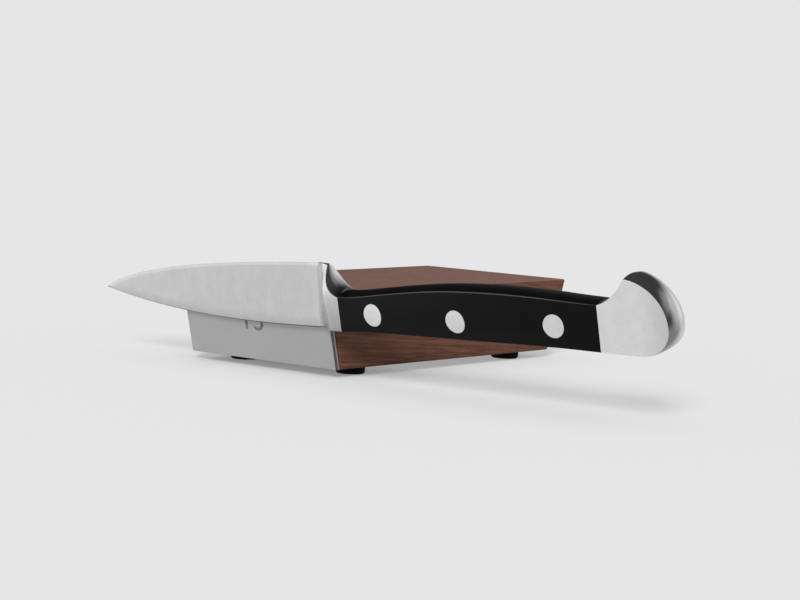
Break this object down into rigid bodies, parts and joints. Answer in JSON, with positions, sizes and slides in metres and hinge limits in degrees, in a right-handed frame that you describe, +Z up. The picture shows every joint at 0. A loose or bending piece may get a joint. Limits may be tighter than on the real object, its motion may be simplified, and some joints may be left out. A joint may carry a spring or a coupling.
{
  "type": "rolling knife sharpener",
  "caption": "Walnut magnetic angle block of a rolling knife sharpener, with leaning steel faces and rubber feet, holding a small kitchen knife edge up on its front face.",
  "frame": {"origin": "middle of the footprint of the block with the knife on it, on the surface that the feet stand on", "axes": "+X along the knife from point to butt and across the block, -Y out of the 15 degree face, +Z up"},
  "size_m": [0.1824, 0.1106, 0.0349],
  "materials": {
    "walnut": "oiled walnut, open grain",
    "plate_steel": "fine satin",
    "magnet_nickel": "nickel plating",
    "foot_rubber": "matt black",
    "blade_steel": "fine ground flats, polished bolster and butt edges",
    "rivet_steel": "ground flush",
    "handle_black": "satin black"
  },
  "bodies": {
    "block": {"walnut_body": "walnut", "front_plate_15": "plate_steel", "rear_plate_20": "plate_steel", "front_magnet_1": "magnet_nickel", "front_magnet_2": "magnet_nickel", "front_magnet_3": "magnet_nickel", "front_magnet_4": "magnet_nickel", "rear_magnet_1": "magnet_nickel", "rear_magnet_2": "magnet_nickel", "rear_magnet_3": "magnet_nickel", "rear_magnet_4": "magnet_nickel", "foot_front_left": "foot_rubber", "foot_front_right": "foot_rubber", "foot_rear_left": "foot_rubber", "foot_rear_right": "foot_rubber"},
    "knife": {"blade_and_tang": "blade_steel", "outer_handle_scale": "handle_black", "inner_handle_scale": "handle_black", "front_rivet": "rivet_steel", "middle_rivet": "rivet_steel", "rear_rivet": "rivet_steel"}
  },
  "joints": [
    {"name": "knife_pull", "type": "slide", "parent": "block", "child": "knife", "axis": [0, -1, 0], "range_m": [0, 0.06]}
  ]
}
